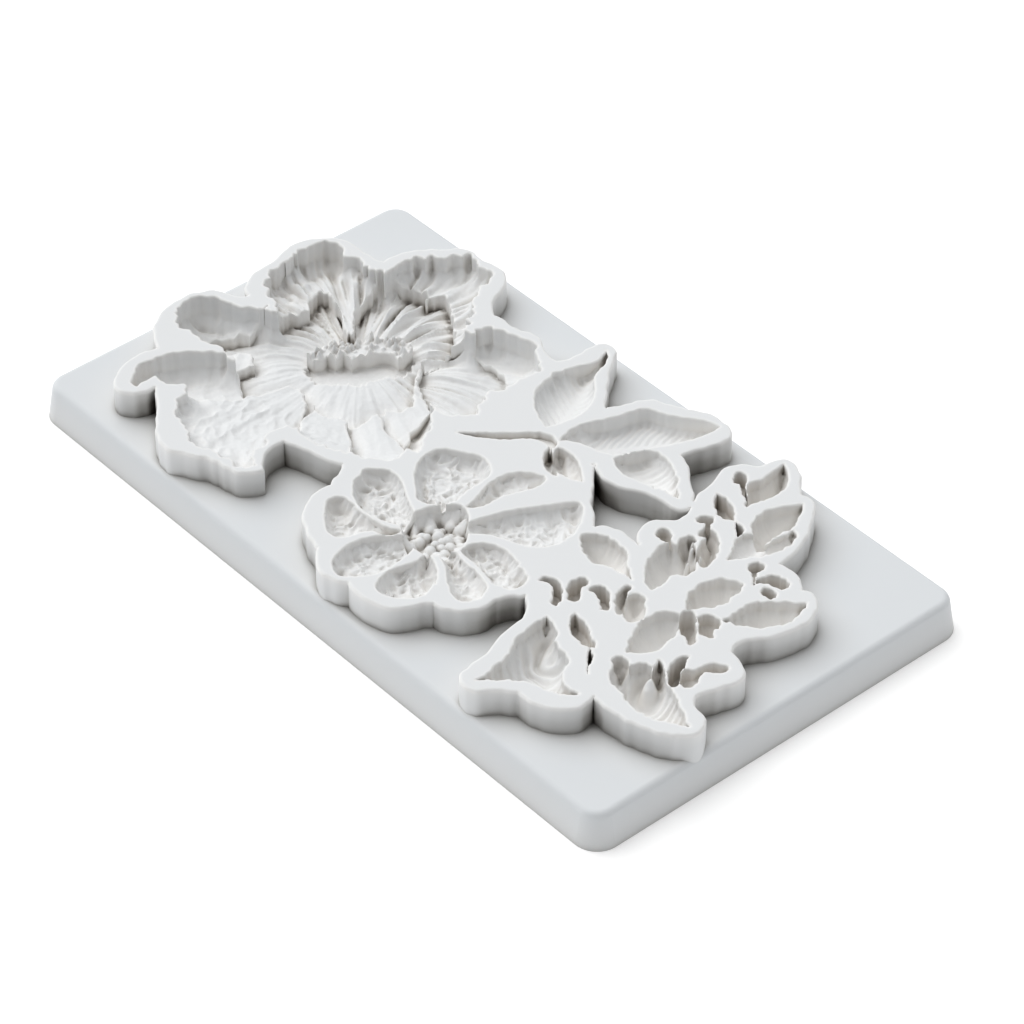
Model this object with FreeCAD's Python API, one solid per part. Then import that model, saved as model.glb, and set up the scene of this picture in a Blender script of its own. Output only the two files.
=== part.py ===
import FreeCAD, Part
import os

# Flexible relief mould: one casting of silicone, 126 x 71 mm, made of a thin slab and a raised
# island that holds four flower motifs.  Each motif's block is a solid of its own, set into a
# pocket of the slab that has the island's outline, and the blocks meet face to face.
# Origin: middle of the underside.  +X along the long side, +Z up.  Millimetres.

LENGTH = 126.0          # underside, along X
WIDTH = 70.8            # underside, along Y
SLAB_THICKNESS = 6.1
ISLAND_RISE = 4.8       # the island's flat top above the slab's top
SIDE_DRAFT = 1.0        # how far each slab side leans in from bottom to top
CORNER_RADIUS = 3.9     # slab's upright corners, at the underside
TOP_EDGE_RADIUS = 1.1   # slab's upper rim
FLOOR = 2.5             # silicone left under the blocks
TOP = SLAB_THICKNESS + ISLAND_RISE
ISLAND_SHIFT = -0.4     # the island's drawing lies this far off the slab's middle, along Y

# An outline is a list of strokes.  A stroke is one smooth curve through its points; it runs on
# from the end of the stroke before, and strokes meet in the notches and tips.  The first stroke
# starts where the last one ends.  A single stroke closes on itself smoothly.

# Places where neighbouring blocks meet on the island's outline, and in its middle.
PEONY_SPRIG = (-11, 23.4)
SPRIG_DAISY = (16.8, 5.5)
DAISY_SPRAY_NORTH = (21, 2.4)
DAISY_SPRAY_SOUTH = (25.7, -14.9)
PEONY_DAISY = (-13.4, -16.1)
THREE_WAY = (-8.8, -0.6)

# Seams between blocks, all on the flat rims between cavities.
PEONY_SPRIG_SEAM = [PEONY_SPRIG, (-9.8, 19), (-9.6, 12), (-8.5, 6.2), THREE_WAY]
PEONY_DAISY_SEAM = [THREE_WAY, (-7.8, -5.4), (-9.2, -10.6), PEONY_DAISY]
SPRIG_DAISY_SEAM = [THREE_WAY, (-4, 2), (1, 4.8), (7, 4.9), SPRIG_DAISY]
DAISY_SPRAY_SEAM = [DAISY_SPRAY_NORTH, (20.6, -0.6), (21.4, -4), (24.6, -12), DAISY_SPRAY_SOUTH]

# The island's outer edge, clockwise seen from above, in one run of strokes per block.
PEONY_SIDE = [
    [(-17.4, -17.4), (-23.1, -19)],
    [(-22.8, -22.2), (-19.8, -25.4)],
    [(-20.6, -27.3), (-25.5, -29.2)],
    [(-29.4, -31.2), (-33.5, -33), (-38, -31), (-45.3, -25.8)],
    [(-46.2, -28.7), (-48.2, -30.2), (-51.2, -28.5), (-52.8, -25), (-52.2, -19.8)],
    [(-55, -18.5), (-58.4, -15.2), (-59.8, -11), (-59.1, -6.4), (-57, -4), (-54.4, -2.9),
     (-53.6, -1.5)],
    [(-55.2, -0.7), (-56.8, 0.9), (-57.6, 2.8), (-57.8, 6.2), (-58.8, 9), (-58.8, 13.4),
     (-57.3, 16.5), (-54.4, 18.3), (-50, 18.7), (-46.5, 19.3)],
    [(-46.7, 21.4), (-45.6, 25.1), (-43, 28.5), (-40.2, 31.3), (-37, 31.1), (-33.4, 31.8),
     (-31.2, 30.8), (-29, 27.3), (-25.4, 23.3)],
    [(-23.5, 23.8), (-20.6, 23.9), (-17.2, 25), (-14.4, 23.8), (-11, 23.4)],
]

SPRIG_SIDE = [
    [(-10, 25.6), (-10.1, 29.4), (-9.2, 31.7), (-7, 31.5), (-5.2, 29.3), (-2.4, 25.9), (2.1, 21.2)],
    [(3.6, 24.6), (4.8, 27.4), (9.2, 29.7), (12, 31.5), (15.6, 32.2), (18.8, 31.2), (18.9, 28),
     (17.4, 22.3)],
    [(20.8, 21), (23.2, 19), (26.6, 16.2), (26.9, 15), (24.6, 13.7), (20.4, 12.9), (16.4, 11),
     (13.4, 10.6), (10.5, 11.6)],
    [(13.4, 8.9), (16.8, 5.5)],
]

DAISY_SIDE = [
    [(24.6, -16.2), (23.5, -18.4)],
    [(23.4, -21.4), (21.6, -24.2), (18.4, -25.4)],
    [(16.9, -28), (15.2, -30.8), (11.6, -32), (7.3, -31.7)],
    [(5.5, -32.8), (2.6, -33), (-1.2, -30.3)],
    [(-4.6, -29.4), (-8.6, -27.1), (-10.5, -24), (-10.7, -20.2)],
    [(-11.6, -18.6), (-12.3, -17), (-13.4, -16.1)],
]

SPRAY_SIDE = [
    [(22.6, 3.9), (25.2, 4.6), (28.2, 4.5)],
    [(26, 6.4), (25.6, 9.4), (27.6, 12.2), (27.3, 14.8), (25.6, 18), (25, 21.1), (23.9, 24.3),
     (24.9, 27.7), (26.8, 29.4), (27.5, 32.8), (29.6, 33.5), (32.4, 32), (35.3, 29.3)],
    [(37.4, 29.6), (39.8, 27.6), (42.4, 23.4), (43.7, 19.5), (44.2, 16.6)],
    [(47.7, 16.8), (50.3, 15.1)],
    [(52.7, 15.6), (54.9, 13.4), (55.4, 8.9), (54, 4.6), (52.7, 2.1), (53.1, -1.2)],
    [(55.8, -1.5), (57.6, -3), (57.5, -7), (56.4, -11)],
    [(58.2, -12.3), (60.6, -12.9), (61.8, -15.6), (60.2, -18.3), (55.6, -20.6), (50.6, -21.5),
     (47.4, -21.4)],
    [(47.7, -24), (45.7, -26.9), (40, -28.6)],
    [(37.6, -30.8), (34.6, -33.3), (32.5, -32.6), (31.6, -29.9), (31.2, -26.6), (29.8, -22.4),
     (29, -18), (25.7, -14.9)],
]

# Cavities: depth below the island's top, and outline.
PEONY_CAVITIES = {
    "outer_petals": (3.6, [
        [(-43.4, -12.6), (-46.8, -12.8), (-51.2, -13.8), (-54.5, -14), (-56.8, -13.1),
         (-58.5, -11.1), (-58.4, -8.6), (-57.5, -6.3), (-55.5, -5.3), (-53.2, -5), (-51.5, -3.2),
         (-49.6, -2.5), (-47.1, -3.8)],
        [(-46.1, -3.3), (-47.5, -0.7), (-50.8, 1), (-54.5, 2.1)],
        [(-56.3, 5.7), (-56, 8.1)],
        [(-57.1, 9.7), (-57, 12), (-56.8, 14.5), (-55.9, 16.4), (-53.3, 16.6), (-49.9, 16.5),
         (-47, 16.8), (-44.6, 17), (-42, 15.5)],
        [(-43.6, 18.2), (-44.6, 20.9), (-44.4, 23.4), (-42.5, 25.9), (-40.7, 28.1), (-39.7, 29.9),
         (-37.6, 29.9)],
        [(-35.3, 29.7), (-33.3, 30.5)],
        [(-32, 27.1), (-30.1, 23.4), (-27, 19.7), (-24.8, 15.2)],
        [(-23.7, 16.5), (-24.3, 19), (-23.6, 21.8)],
        [(-21, 22.1), (-19.1, 22.8), (-17.3, 23.3), (-15.1, 22.1)],
        [(-13, 21.6), (-11.2, 20.4), (-10.9, 17.9), (-10.6, 13.3)],
        [(-12.1, 10.7)],
        [(-10.8, 8.9), (-9.3, 6.2)],
        [(-10.2, 4.5), (-11.9, 3.1), (-14, 2.5), (-15.9, 2.7)],
        [(-12.6, 0.4), (-10.4, -2.6), (-8.7, -5.9)],
        [(-9.6, -6.6), (-9.5, -8.2)],
        [(-10.1, -10.4), (-12.7, -12.4), (-16.3, -14.3), (-19.6, -15.9), (-24.1, -15.6)],
        [(-25.6, -18.1), (-25.5, -20.5)],
        [(-24, -21.9), (-24.5, -23.9)],
        [(-23.3, -25.1), (-21.3, -25.7)],
        [(-22.7, -27.4), (-25.3, -27.7), (-27.6, -28.2), (-29.8, -29.2), (-32, -29.3)],
        [(-33.2, -28.1), (-36, -27.8), (-38.2, -27.2), (-40.1, -26), (-41.2, -23.2)],
        [(-42.6, -22.5), (-43.9, -23.6), (-45.4, -23.8), (-47.4, -23.8), (-47.8, -25.1),
         (-47.3, -27.6)],
        [(-49.1, -26.8), (-50.9, -24), (-50.6, -21.5), (-49.4, -18), (-47.2, -14.9),
         (-44.9, -13.6), (-42.6, -12.9)],
    ]),
    "left_inner_petal": (5.4, [
        [(-54.6, -9.2), (-54.2, -7.7), (-52.3, -6.2), (-50.6, -4.5), (-49.9, -4.4)],
        [(-48.3, -5.3), (-46, -6.8)],
        [(-48.4, -8.5), (-50, -9.8), (-51.9, -10.2), (-53.3, -10.3)],
    ]),
    "inner_petals": (5.4, [
        [(-50, -2.4), (-49.6, -1.2)],
        [(-47.9, -1.3), (-47.9, -0.5), (-48.8, 0.5), (-49.4, 2.2), (-48.3, 4.3)],
        [(-48.2, 5.6), (-49.8, 7.1), (-50.4, 8.4), (-50.7, 10), (-49.4, 10.7), (-47.2, 9.8),
         (-45.7, 10), (-43.6, 8.7), (-40.8, 6.9)],
        [(-38.3, 5.8)],
        [(-41.4, 9.1), (-44.3, 12.4), (-45.5, 15.2), (-45.5, 17), (-44.3, 17.5)],
        [(-44.3, 19.3), (-42.7, 21.3), (-40.9, 22.2), (-38.9, 21.2)],
        [(-38.7, 23.1), (-37, 23.8), (-34.3, 22.4), (-30.8, 20), (-28.3, 18.2)],
        [(-27.5, 14.5), (-27.7, 12.5), (-27.4, 10.7), (-26.3, 8.7)],
        [(-21.2, 3)],
        [(-21.5, 0.9), (-23.2, 0.3)],
        [(-22.9, -0.8), (-23.4, -2.2), (-22.4, -4.8), (-23.5, -6.8)],
        [(-24.5, -6.8), (-27.8, -8.1), (-30.1, -7.8)],
        [(-27.7, -12.4)],
        [(-29.1, -10.6), (-30.4, -9.2), (-33.1, -7.7), (-35.2, -6.5)],
        [(-36.8, -8.9), (-37.7, -12.6), (-38.4, -14)],
        [(-41, -13.5), (-43.5, -11.6), (-44.6, -10.2), (-44.2, -8.3)],
        [(-46.1, -6.8), (-49.9, -4.4)],
    ]),
    "right_inner_petal": (5.4, [
        [(-27.5, 14.5), (-26.8, 16.9), (-24.7, 18), (-22.9, 18.6), (-20.7, 19), (-17.7, 18.6),
         (-15.2, 17.2), (-14.1, 16.1)],
        [(-15.4, 13.5), (-12.6, 9)],
        [(-15.3, 6.3), (-18.4, 4.6)],
        [(-22.7, 6.5), (-25.3, 8.2), (-27.3, 10.6)],
    ]),
    "stamen_well": (7, [
        [(-40.4, -0.8), (-38.2, -2.8), (-34.8, -2.5), (-33.3, -0.5), (-31, 1.4), (-30.4, 4.1),
         (-28.7, 8.5), (-30.1, 11.2), (-32.6, 12.6), (-36.4, 10.7), (-39.1, 8), (-40.9, 3.7)],
    ]),
}

LEAF_SPRIG_CAVITIES = {
    "upper_left_leaf": (3.2, [
        [(-6, 28.7), (-4.7, 25.4), (-1.4, 22.3), (0.5, 18.4), (0.6, 15.4), (-0.3, 12)],
        [(-4.5, 13.6), (-7.3, 16), (-8.6, 19.4), (-8.2, 23.8), (-7, 27.2), (-7.9, 30.5)],
    ]),
    "upper_right_leaf": (3.2, [
        [(13.2, 29.9), (9.6, 27.3), (6.2, 25.7), (4.9, 21.8), (2.8, 16.4), (3.4, 11.4)],
        [(6.4, 13.4), (10.8, 15.1), (12.6, 18.6), (14.6, 23), (16.1, 27.6), (16.4, 31.1)],
    ]),
    "side_leaf": (3, [
        [(21.4, 17.9), (17.8, 19.9), (14.4, 20.1), (12.4, 17.6), (11.7, 14.5)],
        [(15.4, 13.4), (19.6, 14.5), (24.2, 15.6)],
    ]),
    "stem": (1.4, [
        [(-4.6, 4.9), (-1.8, 8.1), (1, 10.9), (3.6, 10.6)],
        [(4.1, 9.6), (1.8, 9.2), (-1.3, 6.4), (-4.6, 3.2), (-7.9, 1.2)],
    ]),
    "twin_leaf_upper": (3.2, [
        [(7, 10.5), (10, 9.4), (12.3, 7.7)],
        [(10.4, 6.6), (8.9, 6.4), (4.4, 10.2)],
    ]),
    "twin_leaf_lower": (3, [
        [(4.6, 7.1), (7, 5.6), (9.1, 5.6)],
        [(6.6, 7.6), (3.5, 9.4)],
    ]),
}

DAISY_CAVITIES = {
    "petal_1": (2.4, [
        [(3.4, -15.2), (-0.6, -14.2), (-3.4, -12.7), (-6.2, -11.8), (-8.1, -12), (-9.2, -13),
         (-9.8, -15), (-9.2, -17.1), (-7.5, -18.7), (-4.8, -20), (-1.5, -20), (1.4, -19.1),
         (3.2, -17.6)],
    ]),
    "petal_2": (2.2, [
        [(-0.4, -12.6), (-3.6, -10.4), (-6, -7.8), (-6.9, -5.3), (-6.5, -3.1), (-4.4, -1.5),
         (-1.7, 0.1), (0.3, 0.1), (2.1, -1), (2.9, -3.5), (3.2, -6.9), (3.6, -9.8)],
    ]),
    "petal_3": (2, [
        [(5.8, -8.6), (4.5, -4.2), (3.9, -0.8), (5.1, 2.3), (7.1, 3.8), (8.6, 4), (9, 2.4),
         (8.3, -0.4), (7.2, -3.7), (6.5, -8)],
    ]),
    "petal_4": (2.2, [
        [(8.5, -11), (9.2, -8.3), (10.5, -4.5), (12.6, -0.6), (14.8, 3.2), (15.9, 4.2),
         (17.2, 3.6), (18.9, 1.6), (20.2, -1), (20.4, -3.5), (19.1, -6.7), (16.7, -8.3),
         (14, -9.4), (11.7, -10.8), (10, -12.1)],
    ]),
    "petal_5": (2, [
        [(12.4, -14.9), (12.7, -13), (14.1, -11.4), (16.6, -10.7), (20.4, -11.2), (22.8, -12.1),
         (23.8, -13.9), (23, -15.6), (20.4, -16.3), (17.8, -16), (15.3, -15.6)],
    ]),
    "petal_6": (2, [
        [(11.2, -18.4), (14.9, -20), (18.3, -22.1), (20.6, -22.4), (21.8, -20.7), (21.3, -18.5),
         (19.6, -17.3), (17.2, -16.8), (14.3, -16.7), (11.7, -16.7)],
    ]),
    "petal_7": (2, [
        [(9.8, -19.6), (9.9, -23), (9.3, -25.8), (9.8, -28.3), (11.1, -29.7), (13.2, -29.4),
         (15.4, -27.5), (16.3, -25.6), (15.5, -23.5), (11.5, -19.7)],
    ]),
    "petal_slit": (1.6, [
        [(12.4, -20.4), (14.8, -21.9), (15.6, -22.8)],
        [(14.5, -22.2), (12, -20.3)],
    ]),
    "petal_8": (2.2, [
        [(4.6, -19.4), (2.8, -21.8), (1.6, -24.2), (1.1, -26.8), (1.8, -29.5), (3.4, -31.4),
         (5.2, -31.8), (6.6, -30.7), (8, -28.5), (8.7, -26), (8.3, -23), (7.4, -20)],
    ]),
    "petal_9": (2.2, [
        [(3.5, -19), (1.6, -20.1), (-1.1, -20.6), (-3.8, -20.8), (-6.1, -20.5), (-7.9, -21.1),
         (-8.4, -22.4), (-7.1, -24.2), (-4.7, -26.1), (-2.1, -27.1), (-1, -26.5), (-0.1, -24.5),
         (1, -22.3), (3.7, -19.4)],
    ]),
    "stamen_ring": (3.2, [
        [(3.3, -18.7), (1.8, -16.1), (2.1, -13.6), (3.2, -10.7), (5.3, -9), (8, -10.2),
         (10.4, -12.4), (12, -14.8), (11.6, -17.1), (10.1, -19.7), (7.4, -20.1)],
    ]),
}

BLOSSOM_SPRAY_CAVITIES = {
    "top_leaf": (4.6, [
        [(30.9, 31), (32.5, 29), (32.9, 26.2), (31.9, 22.2)],
        [(30.4, 23.5), (28.5, 25.7), (29.1, 27.1)],
        [(28.7, 32.3)],
    ]),
    "top_bud": (3.4, [
        [(30.1, 23.1), (27.7, 24.5)],
        [(26.6, 24.2), (25.7, 25.2), (25.9, 26.4), (27, 26.4), (28.1, 25.3)],
        [(28.6, 24.6), (30.4, 23.5), (31.9, 22.3)],
        [(31.9, 21.9)],
    ]),
    "right_leaf": (4.6, [
        [(35.6, 25.7), (34.7, 23.2), (34.9, 20.8), (36.1, 19), (37.9, 18), (39.9, 17.8)],
        [(39.5, 19.3), (39.7, 21.8), (39.2, 24.6), (36.9, 28.1)],
    ]),
    "right_fold": (2.6, [
        [(37.6, 13.5), (36.5, 15.6), (36.5, 17.6), (37.6, 18.4), (39.8, 17.8)],
        [(40.1, 19.9), (40.3, 23.1)],
        [(41.8, 22), (42.2, 19.7), (41.6, 16.6), (40.1, 13.8), (38.7, 11.8)],
    ]),
    "shaded_leaf": (4.4, [
        [(29.3, 20.6), (31.2, 19.9), (33, 18.6), (34.2, 18.4), (36, 16.2)],
        [(34, 17.7), (33.1, 18), (32.2, 17.6), (30.7, 17.5), (29.2, 18.1), (28, 19.2), (27.2, 20.5)],
    ]),
    "pod": (4.8, [
        [(29.4, 15.3), (29.8, 16), (31.3, 15.8)],
        [(31.9, 14.7), (33.2, 14.4), (35.1, 13.5), (36.4, 12.1), (37.5, 10.2), (38.1, 8.6)],
        [(37.3, 7.9), (35.9, 8.4), (34, 10.4), (33.2, 12.5)],
        [(31.8, 12.7), (31.4, 14.3), (29.8, 14.2)],
    ]),
    "fan": (4.8, [
        [(27.6, 8.6), (27.9, 9.6), (29.1, 9.6), (30.5, 8.6), (31.7, 8.5)],
        [(31.2, 9.5), (31, 10.5), (31.4, 11.3), (32.6, 11.3), (33.8, 10.1), (35.7, 8.7),
         (36.8, 7.2)],
        [(37.1, 5.2), (36.2, 3.9), (36.4, 1.6), (36.4, -0.6)],
        [(35.1, -0.6), (33.1, 1.2), (31.3, 3.7), (30.5, 6), (30.4, 8.1)],
        [(29.4, 7.7), (28.1, 7.7)],
    ]),
    "middle_leaf": (4.4, [
        [(41.1, 1.8), (40.2, 3.8), (40.3, 6.4), (41.3, 8.4), (42.8, 9.4), (44.1, 9.8)],
        [(45, 7.1), (45, 4.4), (44, 2.3), (42.7, 0.2)],
    ]),
    "long_leaf": (4.4, [
        [(47.7, 4.2), (47.6, 6.7), (47.8, 8.3), (48.7, 9.6), (50.7, 11.6), (52.7, 13.8)],
        [(53.6, 11.2), (53.8, 8.6), (53, 6.7), (51.6, 4.8), (49.4, 3.3), (47.7, 2.4)],
    ]),
    "stalk_bud": (2.4, [
        [(43.5, 12.1), (42.3, 12.5)],
        [(41.5, 13.8), (41.8, 14.8), (43.1, 14.8), (43.7, 14.2)],
        [(43.7, 13), (44.1, 12), (45.1, 11)],
        [(45, 10.8)],
    ]),
    "berry_pair": (3.4, [
        [(44.8, 11.4), (44.4, 12.4), (45.1, 13.9), (46.1, 14.7), (47.2, 14.9), (48.2, 14.8),
         (48.4, 13.8), (47.6, 13), (46.3, 12.7), (45.7, 12)],
    ]),
    "berry": (2.4, [
        [(46.6, 11.3), (48, 12.1)],
        [(48.7, 11.8), (48.9, 10.4), (47.6, 10.3), (46.7, 10.7)],
    ]),
    "egg_bud": (3.8, [
        [(38.1, -3.4), (36.6, -2.4), (35.6, -2.7), (35.3, -3.6), (35.6, -5), (36.6, -6.4),
         (38.2, -7.3), (39.6, -7.4), (39.9, -6.2), (39.2, -4.4)],
    ]),
    "wide_leaf": (4.4, [
        [(42.2, -10.1), (40.9, -7.5), (40.3, -4.9), (40.7, -2.9), (42, -1.7), (42.8, -1.3)],
        [(44.3, -2.5), (45.4, -4.2), (45.7, -6.6), (46.1, -9.1), (45.1, -10.7), (43.7, -12)],
    ]),
    "slot_leaf": (4.8, [
        [(43.3, -1.7), (42.8, -0.7), (43, 0.3), (43.9, 0.6), (45.6, -0.5), (47.4, -2.4),
         (48.3, -4.1), (46.9, -4), (45.5, -3.6)],
    ]),
    "short_leaf": (4.2, [
        [(45, 1.4), (46.2, 2.1), (47.6, 2.2)],
        [(48.2, 1.2), (48.3, 0.1), (49.3, -0.8), (48.4, -1.8), (47.1, -1.7)],
        [(44.9, 0.2)],
    ]),
    "left_leaf": (4.2, [
        [(23.3, 1.9), (25.6, 2.5), (28.1, 1.9), (30.6, 0.1), (33, -1.3)],
        [(30.6, -1.4), (28.5, -2.2), (25.8, -2.8), (23.3, -2), (21.1, -0.3)],
    ]),
    "stub_1": (3.8, [
        [(24.6, -10.4), (25.3, -9.4), (26.4, -9.3), (28, -10.2), (29.7, -11.9), (30.1, -13)],
        [(29.4, -12.9), (27.8, -11.4), (24.6, -11.3)],
    ]),
    "stub_2": (3.8, [
        [(28.1, -8.9), (27.6, -7.4), (27.9, -6.5), (29.7, -6.6)],
        [(30.2, -8.4), (31.4, -9.6), (31, -10.5), (30.1, -10.9)],
    ]),
    "stub_3": (3.8, [
        [(30.6, -6), (31.5, -5.3), (32.9, -5.6), (34.7, -7), (35.6, -8.2), (34.8, -8.7)],
        [(33.3, -7.7), (30.9, -7.2)],
    ]),
    "stub_4": (3.8, [
        [(34.8, -6), (33.7, -4.4), (33.5, -2.9), (34.4, -2.5)],
        [(34.8, -3.7), (36, -5.3), (37.2, -6.8), (37.2, -7.6), (36.3, -7.4)],
    ]),
    "small_leaf": (4.4, [
        [(34.9, -12.2), (37.7, -13.2), (40.2, -14.6)],
        [(39.1, -15.4), (37.3, -15.5), (35.4, -14.9), (33.8, -13.5), (33.1, -12.1)],
    ]),
    "vein_slot": (3, [
        [(40.4, -15.4), (42, -17), (43.5, -18.9)],
        [(42.6, -18.4), (41.1, -16.7), (39.8, -15.3)],
    ]),
    "corner_leaf": (4.6, [
        [(32.8, -16), (34.9, -17.2), (37, -18.6), (39.3, -18.8), (40.4, -20.3), (41.1, -21.7)],
        [(43.1, -22.8), (45.6, -22.7)],
        [(43.7, -24.6), (40.8, -25.7), (38.5, -26.9), (36.4, -29.1), (34.4, -31.4)],
        [(34.3, -28.2), (33.4, -24.8), (31.7, -21.3), (31.1, -18.3), (30.9, -15.4)],
    ]),
    "shell_leaf": (4.6, [
        [(44.1, -15.1), (43.6, -13.7), (44.4, -13.1), (46.1, -13.8)],
        [(46.4, -12.3), (47.2, -11.6), (48.9, -12)],
        [(48.2, -11)],
        [(47.9, -9.7), (49.2, -10.1), (51.5, -11.8), (54, -12.6), (57.4, -14.2), (60.3, -15.6)],
        [(58.1, -17.1), (55.5, -18.3), (52.3, -18.8), (49.4, -18), (47.2, -17.7), (45.5, -16.6)],
    ]),
    "crescent": (4.6, [
        [(50.5, -10.5), (49.4, -8.4), (49.4, -6.9), (50, -6.1)],
        [(50.8, -7.2), (51.3, -8.7), (52.7, -10.4), (53.3, -11.7), (52.2, -12)],
    ]),
    "tail_leaf": (2.8, [
        [(53.7, -4.1), (53, -5.5), (52.7, -7.1), (51.5, -8.4), (52, -9.7), (53.3, -10.7),
         (54.4, -10.7)],
        [(54.5, -8.4), (53.9, -6.9), (55.1, -5.4), (55.5, -3.6)],
    ]),
}
CAVITIES = {
    "peony_block": PEONY_CAVITIES,
    "leaf_sprig_block": LEAF_SPRIG_CAVITIES,
    "daisy_block": DAISY_CAVITIES,
    "blossom_spray_block": BLOSSOM_SPRAY_CAVITIES,
}


def points(flat_points):
    """Points of the island's drawing, in the part's own frame."""
    return [FreeCAD.Vector(x, y + ISLAND_SHIFT, 0) for x, y in flat_points]


def curve(flat_points):
    """One smooth edge through the points, or a straight one through two."""
    stations = points(flat_points)
    if len(stations) == 2:
        return Part.makeLine(stations[0], stations[1])
    spline = Part.BSplineCurve()
    spline.interpolate(stations)
    return spline.toShape()


def stroke_edges(strokes, start):
    """Edges of strokes that run on from one another, from the point start."""
    edges = []
    for stroke in strokes:
        edges.append(curve([start] + stroke))
        start = stroke[-1]
    return edges


def outline_face(edges):
    wire = Part.Wire(Part.__sortEdges__(edges))
    return Part.Face(wire)


def cavity_face(strokes):
    if len(strokes) > 1:
        return outline_face(stroke_edges(strokes, strokes[-1][-1]))
    spline = Part.BSplineCurve()
    spline.interpolate(points(strokes[0]), PeriodicFlag=True)
    return outline_face([spline.toShape()])


def prism(face, low, high):
    """The upright solid over a flat outline, between two heights."""
    solid = face.extrude(FreeCAD.Vector(0, 0, high - low))
    solid.translate(FreeCAD.Vector(0, 0, low))
    return solid


def rounded_rectangle(length, width, radius, height):
    """A rectangle centred on the origin with round corners, as a wire at a height."""
    half_x = length / 2
    half_y = width / 2
    block = Part.makeBox(length, width, 1, FreeCAD.Vector(-half_x, -half_y, height))
    upright = [edge for edge in block.Edges if abs(edge.tangentAt(edge.FirstParameter).z) > 0.9]
    rounded = block.makeFillet(radius, upright)
    bottom = min(rounded.Faces, key=lambda face: face.CenterOfMass.z)
    return bottom.OuterWire


def slab():
    lower = rounded_rectangle(LENGTH, WIDTH, CORNER_RADIUS, 0)
    upper = rounded_rectangle(
        LENGTH - 2 * SIDE_DRAFT,
        WIDTH - 2 * SIDE_DRAFT,
        CORNER_RADIUS - SIDE_DRAFT,
        SLAB_THICKNESS,
    )
    body = Part.makeLoft([lower, upper], True, True)
    rim = [edge for edge in body.Edges if edge.BoundBox.ZMin > SLAB_THICKNESS - 0.01]
    return body.makeFillet(TOP_EDGE_RADIUS, rim)


def block_edges():
    """Each block's outline: its run of the island's outer edge, closed by its seams."""
    peony = stroke_edges(PEONY_SIDE, PEONY_DAISY)
    sprig = stroke_edges(SPRIG_SIDE, PEONY_SPRIG)
    daisy = stroke_edges(DAISY_SIDE, DAISY_SPRAY_SOUTH)
    spray = stroke_edges(SPRAY_SIDE, DAISY_SPRAY_NORTH)
    daisy_north = curve([SPRIG_DAISY, DAISY_SPRAY_NORTH])
    peony_sprig = curve(PEONY_SPRIG_SEAM)
    peony_daisy = curve(PEONY_DAISY_SEAM)
    sprig_daisy = curve(SPRIG_DAISY_SEAM)
    daisy_spray = curve(DAISY_SPRAY_SEAM)
    return {
        "peony_block": peony + [peony_sprig, peony_daisy],
        "leaf_sprig_block": sprig + [peony_sprig, sprig_daisy],
        "daisy_block": daisy + [daisy_north, peony_daisy, sprig_daisy, daisy_spray],
        "blossom_spray_block": spray + [daisy_spray],
    }


def plain_blocks():
    """The four blocks before their cavities, from the pocket's floor to the island's top."""
    blocks = {}
    for name, edges in block_edges().items():
        blocks[name] = prism(outline_face(edges), FLOOR, TOP)
    # The side leaf's tip stops against the spray.
    blocks["leaf_sprig_block"] = blocks["leaf_sprig_block"].cut(blocks["blossom_spray_block"])
    return blocks


def with_cavities(solid, cavities):
    for depth, strokes in cavities.values():
        solid = solid.cut(prism(cavity_face(strokes), TOP - depth, TOP + 1))
    return solid


def export(name, shape):
    solid = shape.Solids[0]
    solid.exportStep(f"parts/{name}.step")
    print(name, "solids", len(shape.Solids), "volume", round(shape.Volume), "valid", solid.isValid())


def main():
    os.makedirs("parts", exist_ok=True)
    blocks = plain_blocks()
    base = slab()
    for solid in blocks.values():
        base = base.cut(solid)
    export("base_slab", base)
    for name, solid in blocks.items():
        export(name, with_cavities(solid, CAVITIES[name]))


main()
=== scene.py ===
import math
from types import SimpleNamespace

import bpy
import numpy as np
from mathutils import Matrix, Vector, kdtree, noise
from mathutils.bvhtree import BVHTree
from mathutils.geometry import delaunay_2d_cdt


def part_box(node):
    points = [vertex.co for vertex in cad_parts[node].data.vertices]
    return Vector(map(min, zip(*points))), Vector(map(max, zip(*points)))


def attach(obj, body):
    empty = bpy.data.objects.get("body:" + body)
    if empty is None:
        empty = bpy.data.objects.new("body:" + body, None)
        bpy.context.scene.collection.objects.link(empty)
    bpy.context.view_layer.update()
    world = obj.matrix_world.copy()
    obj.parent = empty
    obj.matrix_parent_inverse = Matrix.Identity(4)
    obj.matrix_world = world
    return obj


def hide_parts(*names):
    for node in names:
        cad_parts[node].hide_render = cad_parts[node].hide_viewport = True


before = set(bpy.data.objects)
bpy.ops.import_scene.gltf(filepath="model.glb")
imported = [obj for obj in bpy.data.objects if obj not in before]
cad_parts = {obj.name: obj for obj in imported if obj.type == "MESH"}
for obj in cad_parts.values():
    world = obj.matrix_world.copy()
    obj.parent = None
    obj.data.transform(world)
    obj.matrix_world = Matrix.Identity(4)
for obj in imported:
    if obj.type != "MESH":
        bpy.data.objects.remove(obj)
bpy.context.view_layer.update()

# Lengths below are in millimetres in the row frame, and become metres when a mesh is made.
MM = 0.001
BLOCKS = ["peony_block", "leaf_sprig_block", "daisy_block", "blossom_spray_block"]
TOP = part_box("peony_block")[1].z / MM
POCKET_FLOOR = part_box("peony_block")[0].z / MM
SLAB_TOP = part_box("base_slab")[1].z / MM

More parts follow.
